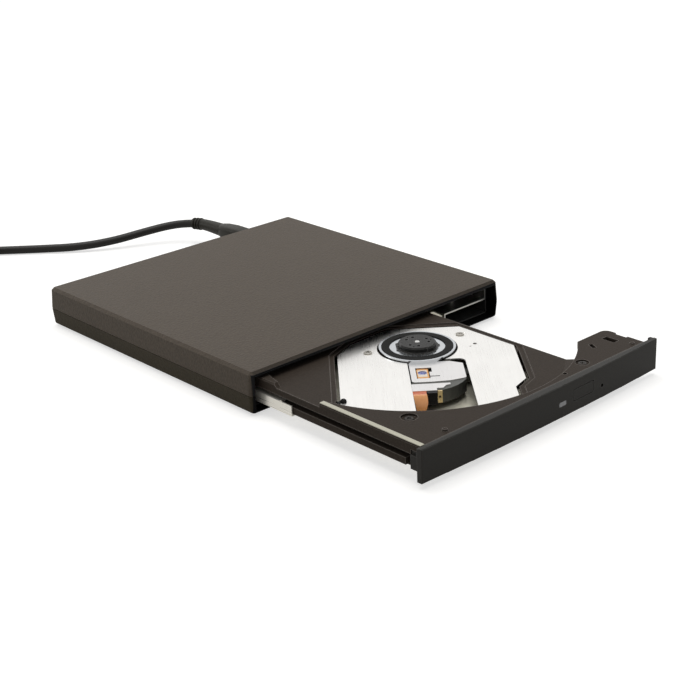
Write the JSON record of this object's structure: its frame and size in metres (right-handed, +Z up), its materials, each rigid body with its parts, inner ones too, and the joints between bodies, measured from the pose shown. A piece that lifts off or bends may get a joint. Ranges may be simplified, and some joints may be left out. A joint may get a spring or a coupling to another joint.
{
  "type": "external optical disc drive",
  "caption": "Slim tray-loading optical drive in a two-shell case, with its tray part open, telescopic rails, spindle, travelling pickup, eject button and a lead with a coiled spare length.",
  "frame": {"origin": "under the middle of the drive with its tray part open, at the plane its feet stand on", "axes": "+X to the right seen from the front, +Y to the back, +Z up; the tray opens towards -Y"},
  "size_m": [0.2131, 0.3607, 0.0174],
  "materials": {
    "case_plastic": "matte grained",
    "foot_rubber": "matte",
    "screw_steel": "satin",
    "zinc_sheet": "satin",
    "bright_steel": "polished",
    "board": "semi-gloss",
    "connector_plastic": "matte",
    "plated_shell": "bright",
    "tray_plastic": "fine matte",
    "bezel_plastic": "satin",
    "light_pipe": "frosted",
    "brushed_deck": "brushed",
    "pale_strip": "satin",
    "turntable_metal": "satin",
    "motor_metal": "satin",
    "hub_plastic": "satin",
    "pickup_casting": "dark satin",
    "pickup_silver": "satin",
    "flex_film": "glossy film",
    "gilt": "satin",
    "lens_blue": "coated",
    "plug_moulding": "satin",
    "cord_sheath": "satin",
    "tie_fabric": "woven"
  },
  "bodies": {
    "case": {"top_shell": "case_plastic", "bottom_shell": "case_plastic", "rubber_feet": "foot_rubber", "shell_screws": "screw_steel", "drive_mount_screws": "screw_steel", "drive_base_pan": "zinc_sheet", "drive_top_cover": "zinc_sheet", "board_cover": "zinc_sheet", "drive_board": "board", "left_rail_guide": "zinc_sheet", "right_rail_guide": "zinc_sheet", "bridge_board": "board", "drive_connector": "connector_plastic", "usb_socket": "plated_shell", "small_plug": "plug_moulding", "small_plug_tip": "plated_shell", "cord_lead": "cord_sheath", "cord_coil": "cord_sheath", "cord_tail": "cord_sheath", "cord_tie": "tie_fabric", "big_plug_grip": "plug_moulding", "big_plug_shell": "plated_shell"},
    "left_rail": {"left_rail": "bright_steel"},
    "right_rail": {"right_rail": "bright_steel"},
    "tray": {"tray": "tray_plastic", "edge_strip": "pale_strip", "bezel": "bezel_plastic", "led_lens": "light_pipe", "front_board": "board", "eject_switch": "connector_plastic", "tray_screws": "screw_steel", "deck_plate": "brushed_deck", "deck_screws": "screw_steel", "traverse_frame": "tray_plastic", "rubber_dampers": "foot_rubber", "damper_cap": "foot_rubber", "tray_board": "board", "tray_bottom_cover": "zinc_sheet", "guide_rods": "bright_steel", "stepper_motor": "motor_metal", "spindle_motor": "motor_metal", "latch_solenoid": "motor_metal", "latch_post": "bright_steel"},
    "turntable": {"turntable": "turntable_metal", "rubber_ring": "foot_rubber", "disc_hub": "hub_plastic", "spindle_shaft": "bright_steel"},
    "hub_claw_1": {"hub_claw_1": "hub_plastic"},
    "hub_claw_2": {"hub_claw_2": "hub_plastic"},
    "hub_claw_3": {"hub_claw_3": "hub_plastic"},
    "pickup": {"pickup_base": "pickup_casting", "pickup_cover": "pickup_silver", "pickup_flex": "flex_film", "pickup_connector": "connector_plastic", "pickup_clip": "gilt"},
    "lens": {"lens_holder": "gilt", "objective_lens": "lens_blue"},
    "lead_screw": {"lead_screw": "bright_steel"},
    "eject_button": {"eject_button": "bezel_plastic"},
    "latch_lever": {"latch_lever": "tray_plastic"}
  },
  "joints": [
    {"name": "tray_slide", "type": "slide", "parent": "case", "child": "tray", "axis": [0, -1, 0], "range_m": [-0.084, 0.044]},
    {"name": "left_rail_slide", "type": "slide", "parent": "case", "child": "left_rail", "axis": [0, -1, 0], "range_m": [-0.042, 0.022]},
    {"name": "right_rail_slide", "type": "slide", "parent": "case", "child": "right_rail", "axis": [0, -1, 0], "range_m": [-0.042, 0.022]},
    {"name": "spindle_spin", "type": "hinge", "parent": "tray", "child": "turntable", "pos_m": [0, -0.0445, 0.014], "axis": [0, 0, 1], "continuous": true},
    {"name": "pickup_slide", "type": "slide", "parent": "tray", "child": "pickup", "axis": [-0.6494, -0.7604, 0], "range_m": [0, 0.034]},
    {"name": "lead_screw_spin", "type": "hinge", "parent": "tray", "child": "lead_screw", "pos_m": [-0.02865, -0.04633, 0.008], "axis": [-0.6494, -0.7604, 0], "range_deg": [-90, 4320]},
    {"name": "lens_focus", "type": "slide", "parent": "pickup", "child": "lens", "axis": [0, 0, 1], "range_m": [-0.0006, 0.0006], "stiffness_N_per_m": 200},
    {"name": "eject_press", "type": "slide", "parent": "tray", "child": "eject_button", "axis": [0, 1, 0], "range_m": [0, 0.0008], "stiffness_N_per_m": 300, "springref_m": -0.0005},
    {"name": "latch_pivot", "type": "hinge", "parent": "tray", "child": "latch_lever", "pos_m": [0.0494, -0.1041, 0.01], "axis": [0, 0, 1], "range_deg": [0, 12], "stiffness_Nm_per_rad": 0.01, "springref_deg": -5.73},
    {"name": "hub_claw_1_press", "type": "slide", "parent": "turntable", "child": "hub_claw_1", "axis": [-0.866, -0.5, 0], "range_m": [0, 0.0006], "stiffness_N_per_m": 300, "springref_m": -0.0005},
    {"name": "hub_claw_2_press", "type": "slide", "parent": "turntable", "child": "hub_claw_2", "axis": [0.866, -0.5, 0], "range_m": [0, 0.0006], "stiffness_N_per_m": 300, "springref_m": -0.0005},
    {"name": "hub_claw_3_press", "type": "slide", "parent": "turntable", "child": "hub_claw_3", "axis": [0, 1, 0], "range_m": [0, 0.0006], "stiffness_N_per_m": 300, "springref_m": -0.0005}
  ],
  "couplings": [
    {"joint": "left_rail_slide", "follows": "tray_slide", "ratio": 0.5},
    {"joint": "right_rail_slide", "follows": "tray_slide", "ratio": 0.5},
    {"joint": "lead_screw_spin", "follows": "pickup_slide", "rad_per_m": 2094.4}
  ]
}
